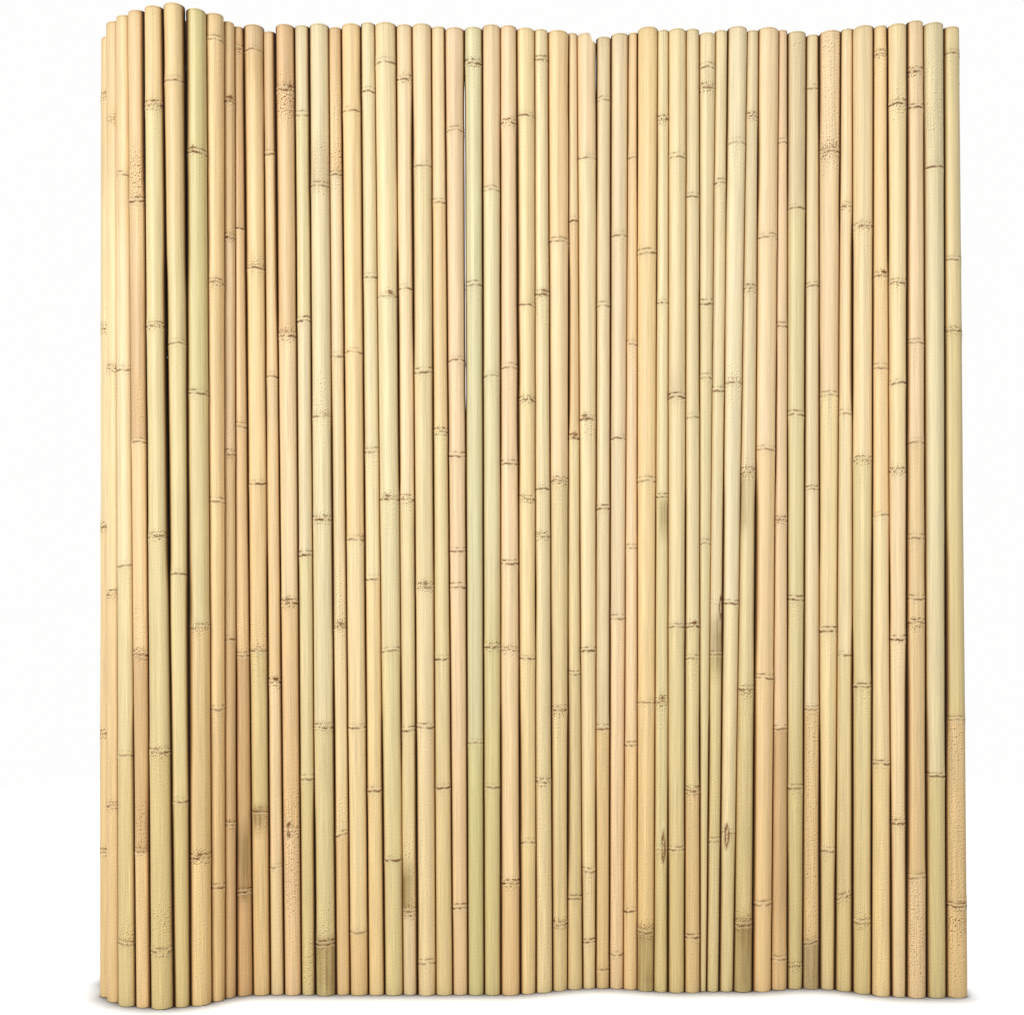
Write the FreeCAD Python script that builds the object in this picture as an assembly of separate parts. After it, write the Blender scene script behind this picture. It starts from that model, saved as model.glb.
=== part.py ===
import FreeCAD, Part
import math
import os

# A roll of bamboo fencing, part unrolled and standing on its cane ends. Natural round canes stand side by
# side, drilled through at four heights and threaded on four galvanised wires. The left end is still rolled
# up, the rest runs off to the right in a shallow wave.
# X runs along the fence, Y away from the viewer, Z up. Lengths are millimetres, angles are degrees.
V = FreeCAD.Vector

# Canes
CANE_LENGTH = 1219.0        # trade height of the fence, four feet
CANE_GAP = 0.8              # daylight between the straight parts of two neighbours
RIDGE_HEIGHT = 0.35         # how far a node stands out of the cane
RIDGE_HALF = 3.5            # from a node's crest to where the ridge runs out
CANE_WALL = 2.8             # thickness of the culm's wall at a sawn end
SMALLEST_BORE = 1.5         # a tip with a finer bore than this is solid
DIAPHRAGM = 3.0             # woody partition inside a node
END_MARGIN = 12.0           # no node lies nearer than this to a sawn end

# Wires
WIRE_DIAMETER = 1.6
WIRE_CLEARANCE = 1.1        # a drilled hole's radius less the wire's
WIRE_DROP = 0.5             # the wires lie this much below the middle of their holes, near the holes' floor
LOWEST_WIRE = 74.0
HIGHEST_WIRE = 1145.0
WIRE_NAMES = ["wire_bottom", "wire_lower", "wire_upper", "wire_top"]
WIRE_STUB = 0.3             # bare wire between the last cane and the bend of its end
WIRE_HOOK_RADIUS = 1.5
WIRE_HOOK_TAIL = 7.0

# Plan of the open run: crests of its wave, as distance along X from the bend at the roll, and depth
CRESTS = [(0, 0), (302, 0), (437, 25), (537, 9), (612, 13), (697, 25), (822, -9), (907, -5)]
RUN_TAIL = 400.0            # the run goes on straight past its last crest for as long as it has canes

# Plan of the roll: a reverse bend, an outer turn that bulges forward, and half turns that close in
BEND_RADIUS = 40.0
ROLL_RADIUS = 90.0
ROLL_BULGE = 49.0
TURN_PITCH = 24.0           # from one turn to the next one inside it
FIRST_INNER_RADIUS = 74.0
INNER_HALF_TURNS = 2

# Where the boundary between the roll's last cane and the run's first cane lies, from the bend
ROLL_CANES = 10
EDGE_TOP = -16.5
EDGE_BOTTOM = 0.0
BEND_ROOM = 0.6             # more daylight between those two, which lean apart in the bend

# Canes that show, from the left: diameter at the top, at the bottom, height of the top, heights of the nodes
CANES = [
    (26.5, 23.0, 1205, [180, 325, 585, 835, 1130]),
    (24.0, 22.5, 1213, [240, 500, 780, 1090]),
    (21.0, 25.0, 1213, [75, 305, 535, 775, 1015]),
    (22.5, 18.5, 1213, [190, 427, 685, 980]),
    (22.5, 26.0, 1215, [70, 310, 570, 825, 1095]),
    (25.0, 17.5, 1218, [250, 525, 805, 1125]),
    (23.5, 24.0, 1215, [180, 460, 745, 1040]),
    (21.5, 16.5, 1216, [140, 360, 615, 885, 1185]),
    (14.5, 16.5, 1214, [215, 445, 675, 945, 1115]),
    (12.5, 21.5, 1213, [130, 425, 710, 960, 1185]),
    (24.5, 20.5, 1216, [230, 430, 640, 910, 1185]),
    (14.5, 17.0, 1210, [160, 390, 775, 1055]),
    (23.5, 20.5, 1217, [205, 490, 825, 1135]),
    (18.0, 17.0, 1217, [270, 550, 845, 1105]),
    (23.5, 24.5, 1218, [65, 335, 595, 725, 1015]),
    (15.5, 17.0, 1215, [200, 460, 800, 1030]),
    (23.5, 22.0, 1218, [80, 335, 570, 805, 1110]),
    (17.0, 19.5, 1221, [255, 520, 680, 900, 1135]),
    (26.0, 22.0, 1219, [170, 430, 620, 875, 1170]),
    (19.5, 17.5, 1218, [105, 330, 620, 885, 1150]),
    (23.5, 22.0, 1218, [40, 335, 510, 780, 1040]),
    (16.5, 20.5, 1216, [260, 420, 705, 995]),
    (23.5, 18.0, 1213, [110, 510, 555, 675, 795, 1085]),
    (22.0, 19.5, 1214, [315, 890, 1170]),
    (22.0, 20.0, 1217, [260, 435, 775, 1010]),
    (19.5, 23.0, 1217, [140, 430, 540, 665, 785, 1095]),
    (22.0, 19.0, 1215, [190, 420, 620, 745, 865, 1105]),
    (17.0, 21.0, 1217, [265, 575, 635, 880, 1180]),
    (27.5, 19.5, 1217, [85, 355, 645, 950]),
    (11.0, 19.5, 1220, [115, 400, 700, 980]),
    (24.5, 16.5, 1218, [60, 150, 430, 725, 1060]),
    (18.5, 17.0, 1215, [25, 330, 610, 870, 1135]),
    (21.5, 17.0, 1218, [45, 470, 700, 960]),
    (12.0, 17.5, 1219, [100, 310, 560, 820, 1060]),
    (24.0, 20.0, 1221, [75, 365, 645, 935]),
    (13.0, 16.5, 1218, [180, 365, 625, 870, 1105]),
    (21.0, 19.5, 1217, [180, 460, 750, 1055]),
    (16.0, 18.5, 1218, [70, 255, 420, 460, 725, 1005]),
    (20.0, 8.0, 1213, [565, 775, 870, 1145, 1170]),
    (15.5, 15.0, 1218, [190, 425, 490, 760, 1025]),
    (24.0, 17.5, 1221, [200, 490, 770, 1075]),
    (14.0, 23.0, 1219, [85, 380, 655, 890, 1110]),
    (26.0, 23.5, 1222, [110, 395, 685, 955]),
    (12.5, 21.5, 1224, [40, 330, 595, 845, 1080]),
    (23.5, 20.0, 1221, [30, 255, 495, 730, 995]),
    (16.5, 21.5, 1218, [60, 355, 635, 895, 1150]),
    (26.5, 19.0, 1219, [175, 455, 755, 1065]),
    (14.5, 21.5, 1220, [120, 425, 730, 995]),
    (24.0, 21.5, 1217, [90, 385, 670, 965]),
    (15.5, 22.0, 1215, [290, 600, 785, 900, 1180]),
    (22.5, 17.0, 1214, [215, 445, 655, 765, 890, 1115]),
    (19.5, 23.5, 1218, [150, 465, 495, 570, 690, 815, 1110, 1155]),
    (25.0, 24.0, 1215, [275, 1035]),
    (20.0, 27.0, 1212, [115, 345, 830, 920, 1180]),
]

# Canes out of sight behind and inside the roll, which stand butt up and butt down in turn
HIDDEN_BUTT = 22.5
HIDDEN_TIP = 17.5
HIDDEN_INTERNODE = 235.0
HIDDEN_NODE_STEP = 68.0     # from one cane to the next, the nodes climb by this much
HIDDEN_TRIM = 3.0           # half the unevenness of the sawn tops

# A splinter has come off the top of one cane
BROKEN_CANE = 31
BREAK_DEPTH = 10.0
BREAK_START = 3.5           # from the cane's axis to where the break begins
BREAK_SLOPE = 20.0

wire_radius = WIRE_DIAMETER / 2
hole_radius = wire_radius + WIRE_CLEARANCE
wire_step = (HIGHEST_WIRE - LOWEST_WIRE) / (len(WIRE_NAMES) - 1)
wire_heights = [LOWEST_WIRE + wire_step * n for n in range(len(WIRE_NAMES))]


class Stretch:
    """A stretch of the fence's plan: straight if turn is 0, else an arc that turns left (+) or right (-)."""

    def __init__(self, start, heading, length, turn):
        self.start = start
        self.heading = heading
        self.length = length
        self.turn = turn

    def centre(self):
        """Centre of curvature."""
        radius = self.length / self.turn
        return self.start + V(-math.sin(self.heading), math.cos(self.heading), 0) * radius

    def heading_at(self, distance):
        return self.heading + self.turn * distance / self.length

    def point(self, distance):
        if self.turn == 0:
            return self.start + V(math.cos(self.heading), math.sin(self.heading), 0) * distance
        radius = self.length / self.turn
        angle = self.heading_at(distance)
        return self.centre() + V(math.sin(angle), -math.cos(angle), 0) * radius

    def edge(self, first, last, height):
        """The stretch between two distances, as one edge at a height."""
        lift = V(0, 0, height)
        ends = [self.point(first) + lift, self.point(last) + lift]
        if self.turn == 0:
            return Part.makeLine(ends[0], ends[1])
        return Part.Arc(ends[0], self.point((first + last) / 2) + lift, ends[1]).toShape()


def chain(heading, legs):
    """Stretches set end to end and tangent, from the bend, for a list of (length, turn)."""
    stretches = []
    start = V(0, 0, 0)
    for length, turn in legs:
        stretch = Stretch(start, heading, length, turn)
        stretches.append(stretch)
        start = stretch.point(length)
        heading = heading + turn
    return stretches


def wave_legs():
    """Legs of the open run: two equal and opposite arcs from each crest to the next one."""
    legs = []
    for (x0, y0), (x1, y1) in zip(CRESTS, CRESTS[1:]):
        along = x1 - x0
        across = y1 - y0
        if across == 0:
            legs.append((along, 0))
            continue
        radius = (along**2 + across**2) / (4 * abs(across))
        turn = math.copysign(2 * math.atan2(abs(across), along), across)
        legs.append((radius * abs(turn), turn))
        legs.append((radius * abs(turn), -turn))
    legs.append((RUN_TAIL, 0))
    return legs


def roll_legs():
    """Legs of the roll: the reverse bend, the outer turn to the back, then half turns inside it."""
    bend = math.acos(1 - ROLL_BULGE / (BEND_RADIUS + ROLL_RADIUS))
    outer = math.pi + bend
    legs = [(BEND_RADIUS * bend, bend), (ROLL_RADIUS * outer, -outer)]
    for n in range(INNER_HALF_TURNS):
        radius = FIRST_INNER_RADIUS - n * TURN_PITCH / 2
        legs.append((radius * math.pi, -math.pi))
    return legs


run = chain(0, wave_legs())
roll = chain(math.pi, roll_legs())
outer_turn_length = roll[0].length + roll[1].length
roll_length = sum(stretch.length for stretch in roll)


def locate(place):
    """Stretch at a place on the plan, and how far along it: places count from the bend, + for the run."""
    stretches = run if place >= 0 else roll
    rest = abs(place)
    for stretch in stretches[:-1]:
        if rest <= stretch.length:
            return stretch, rest
        rest = rest - stretch.length
    return stretches[-1], rest


def spot(place):
    stretch, distance = locate(place)
    return stretch.point(distance)


def radius_at(distance, length, bottom_radius, top_radius):
    """Radius of the plain culm, which tapers evenly from end to end."""
    return bottom_radius + (top_radius - bottom_radius) * distance / length


def culm(length, bottom_radius, top_radius, nodes):
    """A cane on the Z axis: tapered, ridged at its nodes, open at each sawn end as far as the first node."""
    inner = [h for h in nodes if END_MARGIN < h < length - END_MARGIN]
    outline = []
    for height in inner:
        for offset, rise in ((-RIDGE_HALF, 0), (0, RIDGE_HEIGHT), (RIDGE_HALF, 0)):
            at = height + offset
            outline.append(V(radius_at(at, length, bottom_radius, top_radius) + rise, 0, at))
    outline = [V(bottom_radius, 0, 0)] + outline + [V(top_radius, 0, length)]
    foot = [V(0, 0, 0)]
    bore = bottom_radius - CANE_WALL
    if bore > SMALLEST_BORE:
        floor = inner[0] - DIAPHRAGM / 2
        foot = [V(0, 0, floor), V(bore, 0, floor), V(bore, 0, 0)]
    head = [V(0, 0, length)]
    bore = top_radius - CANE_WALL
    if bore > SMALLEST_BORE:
        floor = inner[-1] + DIAPHRAGM / 2
        head = [V(bore, 0, length), V(bore, 0, floor), V(0, 0, floor)]
    points = foot + outline + head
    profile = Part.Face(Part.makePolygon(points + points[:1]))
    return profile.revolve(V(0, 0, 0), V(0, 0, 1), 360)


def drill(place, reach):
    """Straight hole across a cane, with its axis midway between the wire's bow and its chord there."""
    before = spot(place - reach)
    after = spot(place + reach)
    middle = spot(place) / 2 + (before + after) / 4
    return middle, (after - before).normalize()


def cane(foot_place, head_place, bottom_diameter, top_diameter, height, nodes):
    """A cane standing between its places at the floor and at its top, drilled for the wires."""
    foot = spot(foot_place)
    head = spot(head_place) + V(0, 0, height)
    axis = head - foot
    length = axis.Length
    bottom_radius = bottom_diameter / 2
    top_radius = top_diameter / 2
    shape = culm(length, bottom_radius, top_radius, nodes)
    tilt = math.acos(axis.z / length)
    foot = foot + V(0, 0, bottom_radius * math.sin(tilt))
    shape.Placement = FreeCAD.Placement(foot, FreeCAD.Rotation(V(0, 0, 1), axis))
    holes = []
    for wire_height in wire_heights:
        share = wire_height / height
        place = foot_place + (head_place - foot_place) * share
        radius = radius_at(wire_height, height, bottom_radius, top_radius)
        middle, along = drill(place, radius)
        reach = radius + RIDGE_HEIGHT + 2
        start = middle - along * reach + V(0, 0, wire_height + WIRE_DROP)
        holes.append(Part.makeCylinder(hole_radius, 2 * reach, start, along))
    return shape.cut(Part.makeCompound(holes))


def break_top(shape, head_place, height):
    """Takes a sloping splinter off a cane's top, on the side of the next cane."""
    size = 4 * BREAK_DEPTH
    splinter = Part.makeBox(size, size, size, V(0, -size / 2, -BREAK_DEPTH))
    splinter.rotate(V(0, 0, -BREAK_DEPTH), V(0, 1, 0), BREAK_SLOPE)
    splinter.translate(spot(head_place) + V(BREAK_START, 0, height))
    return shape.cut(splinter)


def wire_edges(left_place, right_place, height):
    """The plan between two places as edges at a height, from the roll's inside to the run's right end."""
    edges = []
    passed = 0
    for stretch in roll:
        last = min(stretch.length, -left_place - passed)
        if last > 0:
            edges.insert(0, stretch.edge(last, 0, height))
        passed = passed + stretch.length
    passed = 0
    for stretch in run:
        last = min(stretch.length, right_place - passed)
        if last > 0:
            edges.append(stretch.edge(0, last, height))
        passed = passed + stretch.length
    return edges


def hooked_end(place, height, outward, side):
    """The end of a wire past its last cane: a quarter bend to one side and a short tail, as two edges."""
    stretch, distance = locate(place)
    heading = stretch.heading_at(distance) + (0 if outward else math.pi)
    start = stretch.point(distance) + V(0, 0, height)
    bend_length = WIRE_HOOK_RADIUS * math.pi / 2
    bend = Stretch(start, heading, bend_length, side * math.pi / 2)
    tail = Stretch(bend.point(bend_length), bend.heading_at(bend_length), WIRE_HOOK_TAIL, 0)
    return bend.edge(0, bend_length, 0), tail.edge(0, WIRE_HOOK_TAIL, 0)


def wire(left_place, right_place, height):
    """One wire: straight runs and tangent arcs along the plan, with both ends bent over behind the canes."""
    left_bend, left_tail = hooked_end(left_place, height, True, -1)
    right_bend, right_tail = hooked_end(right_place, height, True, 1)
    path = Part.Wire(
        [left_tail, left_bend] + wire_edges(left_place, right_place, height) + [right_bend, right_tail]
    )
    tail_end = right_tail.Vertexes[-1].Point
    tail_way = (tail_end - right_tail.Vertexes[0].Point).normalize()
    section = Part.Wire(Part.makeCircle(wire_radius, tail_end, tail_way))
    return path.makePipeShell([section], True, False)


def visible_canes(edge_top, edge_bottom, numbers, way):
    """Canes set along the plan from one edge, each taking its diameter and a gap, and the far edges."""
    shapes = {}
    for number in numbers:
        top_diameter, bottom_diameter, height, nodes = CANES[number - 1]
        head_place = edge_top + way * (top_diameter + CANE_GAP) / 2
        foot_place = edge_bottom + way * (bottom_diameter + CANE_GAP) / 2
        shape = cane(foot_place, head_place, bottom_diameter, top_diameter, height, nodes)
        if number == BROKEN_CANE:
            shape = break_top(shape, head_place, height)
        shapes[number] = shape
        edge_top = edge_top + way * (top_diameter + CANE_GAP)
        edge_bottom = edge_bottom + way * (bottom_diameter + CANE_GAP)
    return shapes, edge_top, edge_bottom


def hidden_canes(edge_top, edge_bottom):
    """Canes on the rest of the roll, evenly spread from the last one that shows to the roll's inner end."""
    pitch = (HIDDEN_BUTT + HIDDEN_TIP) / 2 + CANE_GAP
    edge = min(edge_top, edge_bottom)
    count = math.floor((roll_length + edge) / pitch)
    back = []
    inside = []
    for n in range(count):
        place = edge - (n + 0.5) * pitch
        up, down = (HIDDEN_BUTT, HIDDEN_TIP) if n % 2 else (HIDDEN_TIP, HIDDEN_BUTT)
        height = CANE_LENGTH + HIDDEN_TRIM * math.sin(2.4 * n)
        first = END_MARGIN + RIDGE_HALF + (n * HIDDEN_NODE_STEP) % HIDDEN_INTERNODE
        nodes = []
        while first < height - END_MARGIN - RIDGE_HALF:
            nodes.append(first)
            first = first + HIDDEN_INTERNODE
        group = back if -place < outer_turn_length else inside
        group.append(cane(place, place, down, up, height, nodes))
    return back, inside, edge - count * pitch


def build():
    """Every node's shape by name, with the origin under the middle of the whole fence."""
    rolled = range(ROLL_CANES, 0, -1)
    open_run = range(ROLL_CANES + 1, len(CANES) + 1)
    left, left_top, left_bottom = visible_canes(EDGE_TOP - BEND_ROOM, EDGE_BOTTOM - BEND_ROOM, rolled, -1)
    right, right_top, right_bottom = visible_canes(EDGE_TOP, EDGE_BOTTOM, open_run, 1)
    back, inside, inner_edge = hidden_canes(left_top, left_bottom)
    shapes = {}
    for number, shape in sorted({**left, **right}.items()):
        shapes["cane_%02d" % number] = shape
    shapes["roll_back_canes"] = Part.makeCompound(back)
    shapes["roll_inner_canes"] = Part.makeCompound(inside)
    for name, height in zip(WIRE_NAMES, wire_heights):
        right_edge = right_bottom + (right_top - right_bottom) * height / CANE_LENGTH
        shapes[name] = wire(inner_edge - WIRE_STUB, right_edge + WIRE_STUB, height)
    box = Part.makeCompound(list(shapes.values())).optimalBoundingBox(False, False)
    shift = V(-(box.XMin + box.XMax) / 2, -(box.YMin + box.YMax) / 2, -box.ZMin)
    for shape in shapes.values():
        shape.translate(shift)
    return shapes


os.makedirs("parts", exist_ok=True)
for node, shape in build().items():
    shape.exportStep("parts/%s.step" % node)
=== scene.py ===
import math
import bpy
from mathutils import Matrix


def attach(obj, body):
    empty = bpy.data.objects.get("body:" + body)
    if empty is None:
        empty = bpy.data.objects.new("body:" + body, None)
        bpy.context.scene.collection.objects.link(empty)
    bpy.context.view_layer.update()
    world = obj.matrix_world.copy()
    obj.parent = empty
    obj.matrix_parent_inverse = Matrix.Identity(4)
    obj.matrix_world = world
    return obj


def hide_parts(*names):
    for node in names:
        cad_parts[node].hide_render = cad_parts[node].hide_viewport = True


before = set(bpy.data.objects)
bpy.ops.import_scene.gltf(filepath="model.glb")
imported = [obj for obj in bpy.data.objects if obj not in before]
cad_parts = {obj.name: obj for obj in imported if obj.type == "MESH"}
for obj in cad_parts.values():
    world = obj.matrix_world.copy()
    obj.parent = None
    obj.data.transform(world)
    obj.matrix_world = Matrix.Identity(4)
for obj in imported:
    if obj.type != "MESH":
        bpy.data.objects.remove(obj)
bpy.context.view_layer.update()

import zlib

import bpy
import numpy as np
from mathutils import Matrix


# Bamboo canes. Each one is a dried culm, sawn square at both ends, that tapers a little, swells at its nodes
# and carries a double ring at each of them: the scar of the leaf sheath with a ridge above it. They stand
# side by side on their sawn ends, held only by the wires through them, and no two have the same colour.
MM = 0.001
SEEN_COLUMNS = 30
HIDDEN_COLUMNS = 14
ROW_STEP = 16.0
BLUNT = 0.7             # the sawn edge is this much rounded
WALL = 2.8
DIAPHRAGM = 1.5         # half the partition inside a node
CROOK = 0.2             # how far a culm wanders from its straight line
OVAL = 0.008
SWELL = 0.3
FULL = 0.7              # a culm's skin stands this much proud of its even taper, so that neighbours touch
CREVICE = 2.2           # painted shade fills the cleft where two culms come nearer than this
SHELTER = 5.5           # and a fainter painted brown shade reaches this far
RING_ROWS = np.array([-16, -11, -8, -6, -4.5, -3.4, -2.5, -1.7, -1.1, -0.5, 0, 0.5, 1.1, 1.7, 2.3, 3, 3.7, 4.4, 5,
                      5.6, 6.2, 6.8, 7.5, 8.5, 10, 13, 18.0])

TINTS = {
    "straw": (242, 221, 173),
    "pale": (246, 228, 187),
    "yellow": (243, 220, 166),
    "peach": (245, 219, 173),
    "pink": (243, 213, 170),
    "rose": (242, 211, 168),
    "orange": (245, 213, 158),
    "tan": (234, 202, 149),
    "brown": (214, 177, 127),
    "green": (229, 211, 159),
    "sage": (235, 217, 173),
    "olive": (222, 203, 145),
    "moss": (217, 205, 147),
    "mist": (228, 216, 171),
    "grey": (233, 213, 172),
    "ash": (208, 187, 147),
}
BLEND = 0.35            # a cane's tints are drawn this much towards their mean

# The tints of each cane that shows, from the foot up: the height in millimetres from which each one holds.
CULM_TINTS = {
    1: [(0, "tan"), (585, "straw"), (1000, "tan")],
    2: [(0, "tan"), (500, "yellow"), (1000, "tan")],
    3: [(0, "olive"), (305, "green"), (535, "straw"), (940, "tan")],
    4: [(0, "orange"), (190, "brown"), (427, "orange"), (685, "brown"), (900, "tan")],
    5: [(0, "olive"), (310, "green"), (1095, "tan")],
    6: [(0, "olive"), (250, "green"), (525, "green"), (940, "tan"), (1125, "tan")],
    7: [(0, "orange"), (180, "tan"), (460, "green"), (745, "moss")],
    8: [(0, "tan"), (360, "orange"), (700, "tan")],
    9: [(0, "brown"), (445, "tan"), (675, "pink"), (945, "tan")],
    10: [(0, "brown"), (425, "tan"), (960, "brown")],
    11: [(0, "tan"), (230, "olive"), (430, "tan"), (640, "orange"), (1100, "tan"), (1150, "brown")],
    12: [(0, "straw"), (160, "peach"), (390, "tan"), (1055, "brown")],
    13: [(0, "pink"), (205, "tan"), (490, "straw"), (825, "tan"), (1135, "brown")],
    14: [(0, "olive"), (270, "green"), (550, "grey"), (845, "green"), (1105, "grey")],
    15: [(0, "olive"), (65, "green"), (335, "sage"), (725, "grey")],
    16: [(0, "tan"), (200, "straw"), (800, "grey"), (1030, "tan"), (1150, "brown")],
    17: [(0, "tan"), (80, "straw"), (570, "orange")],
    18: [(0, "orange"), (520, "straw"), (680, "sage")],
    19: [(0, "green"), (430, "sage"), (875, "peach")],
    20: [(0, "grey"), (105, "green"), (620, "peach")],
    21: [(0, "straw"), (510, "green"), (1040, "peach")],
    22: [(0, "green"), (705, "tan"), (995, "peach")],
    23: [(0, "rose")],
    24: [(0, "moss"), (315, "mist")],
    25: [(0, "moss"), (500, "mist"), (1010, "pink")],
    26: [(0, "tan"), (140, "peach"), (540, "pink")],
    27: [(0, "yellow")],
    28: [(0, "straw")],
    29: [(0, "green"), (645, "peach"), (950, "orange")],
    30: [(0, "green"), (700, "tan"), (980, "peach")],
    31: [(0, "straw"), (430, "straw"), (1060, "pink")],
    32: [(0, "tan"), (330, "grey")],
    33: [(0, "pink"), (470, "grey")],
    34: [(0, "orange"), (310, "pink"), (820, "tan")],
    35: [(0, "olive"), (75, "orange")],
    36: [(0, "olive"), (180, "green"), (625, "straw")],
    37: [(0, "olive"), (180, "green"), (460, "straw")],
    38: [(0, "tan"), (255, "green"), (460, "sage")],
    39: [(0, "green"), (870, "straw")],
    40: [(0, "green"), (190, "olive"), (425, "grey"), (490, "straw")],
    41: [(0, "green"), (190, "straw"), (490, "pale")],
    42: [(0, "olive"), (380, "green"), (655, "grey")],
    43: [(0, "orange"), (685, "peach")],
    44: [(0, "tan"), (80, "brown"), (330, "pink")],
    45: [(0, "olive"), (330, "green"), (995, "grey")],
    46: [(0, "ash"), (60, "tan"), (355, "grey"), (895, "straw")],
    47: [(0, "green"), (175, "yellow"), (755, "pink")],
    48: [(0, "olive"), (120, "green"), (425, "sage"), (730, "peach")],
    49: [(0, "olive"), (90, "green"), (670, "peach")],
    50: [(0, "yellow"), (290, "straw"), (600, "orange")],
    51: [(0, "peach"), (655, "yellow")],
    52: [(0, "pink"), (150, "tan"), (690, "pink")],
    53: [(0, "olive"), (275, "sage")],
    54: [(0, "tan"), (345, "olive"), (830, "green")],
}

# Places with a look of their own: what it is, the heights in millimetres between which it lies, and the side it
# faces in degrees, where 0 is the front and 90 the right. Rough skin is pitted, a stain is dark and streaked, dust
# is pale grey, a scar is a dark crack along the culm, and a bud is a dark eye at a node.
ROUND = None
PLACES = {
    1: [("rough", 835, 880, ROUND), ("bud", 1130, 1136, 40)],
    2: [("rough", 1085, 1105, 30), ("scar", 1086, 1100, 40)],
    3: [("rough", 70, 100, ROUND)],
    4: [("rough", 185, 250, ROUND), ("rough", 985, 1060, ROUND), ("rough", 985, 1040, ROUND), ("rough", 432, 489, ROUND), ("rough", 690, 765, ROUND)],
    5: [("rough", 85, 125, ROUND), ("rough", 1095, 1118, 10)],
    6: [("rough", 1122, 1150, 20), ("rough", 1122, 1140, 20)],
    7: [("bud", 1049, 1056, -5), ("bud", 158, 163, 10)],
    8: [("rough", 873, 888, ROUND)],
    9: [("rough", 672, 721, ROUND), ("bud", 1115, 1121, 30), ("rough", 948, 962, -20)],
    10: [("rough", 707, 727, ROUND), ("rough", 427, 471, ROUND), ("stain", 115, 208, -10)],
    11: [("rough", 205, 232, ROUND), ("stain", 208, 236, 0), ("rough", 907, 933, ROUND), ("rough", 427, 473, ROUND), ("dust", 1186, 1216, ROUND)],
    12: [("dust", 708, 771, ROUND), ("bud", 381, 386, 15)],
    13: [("rough", 821, 846, ROUND), ("rough", 1100, 1160, ROUND), ("rough", 1105, 1135, ROUND), ("bud", 497, 502, -10), ("bud", 1120, 1125, 30),
         ("scar", 198, 214, -10), ("rough", 100, 260, ROUND)],
    14: [("rough", 0, 70, ROUND), ("bud", 427, 433, -65)],
    15: [("rough", 1000, 1078, ROUND), ("dust", 1006, 1070, ROUND), ("rough", 721, 777, ROUND),
         ("stain", 0, 71, ROUND), ("rough", 0, 110, ROUND)],
    16: [("rough", 200, 245, ROUND), ("rough", 460, 533, ROUND), ("bud", 462, 468, 10), ("rough", 1040, 1150, ROUND), ("rough", 1000, 1060, ROUND)],
    17: [("bud", 523, 529, 60)],
    20: [("rough", 85, 210, ROUND), ("stain", 100, 160, -40)],
    19: [("bud", 872, 875, 20), ("bud", 618, 621, -10)],
    21: [("bud", 511, 515, 5)],
    28: [("bud", 875, 880, 20)],
    30: [("bud", 780, 783, 10)],
    31: [("rough", 696, 717, -60), ("bud", 780, 783, -20)],
    35: [("stain", 0, 81, ROUND), ("rough", 60, 90, ROUND)],
    36: [("scar", 165, 196, 10), ("bud", 458, 462, 0), ("stain", 575, 618, 40)],
    37: [("dust", 742, 783, -20), ("bud", 752, 760, -70)],
    38: [("bud", 458, 462, 15)],
    40: [("scar", 471, 496, 40), ("stain", 400, 470, 20)],
    41: [("rough", 763, 796, ROUND), ("scar", 183, 208, -15)],
    42: [("rough", 646, 680, ROUND), ("stain", 0, 90, ROUND), ("rough", 80, 108, ROUND), ("stain", 580, 646, -70)],
    45: [("dust", 995, 1215, ROUND), ("rough", 1188, 1204, ROUND), ("rough", 1188, 1204, 30)],
    46: [("rough", 0, 355, ROUND), ("stain", 0, 60, ROUND), ("rough", 745, 800, 60), ("bud", 770, 776, 50)],
    47: [("rough", 708, 745, 65), ("rough", 1052, 1210, ROUND), ("rough", 1052, 1080, ROUND)],
    49: [("rough", 75, 105, ROUND)],
    50: [("bud", 896, 902, 10)],
    51: [("rough", 200, 235, ROUND), ("rough", 1095, 1140, 30)],
    52: [("rough", 20, 145, ROUND)],
    53: [("rough", 1060, 1185, ROUND)],
    54: [("rough", 0, 345, ROUND), ("rough", 80, 100, 10)],
}

# Where daylight shows between two culms: the heights between which it does, and the side of the gap in degrees.
DAYLIGHT = {
    5: [(520, 900, 90)],
    6: [(520, 900, -90), (880, 1230, 90)],
    7: [(880, 1230, -90)],
    11: [(1140, 1190, 90)],
    23: [(735, 1152, 90)],
    24: [(735, 1152, -90)],
    29: [(1108, 1205, 90)],
    31: [(1130, 1200, 90)],
}
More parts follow.
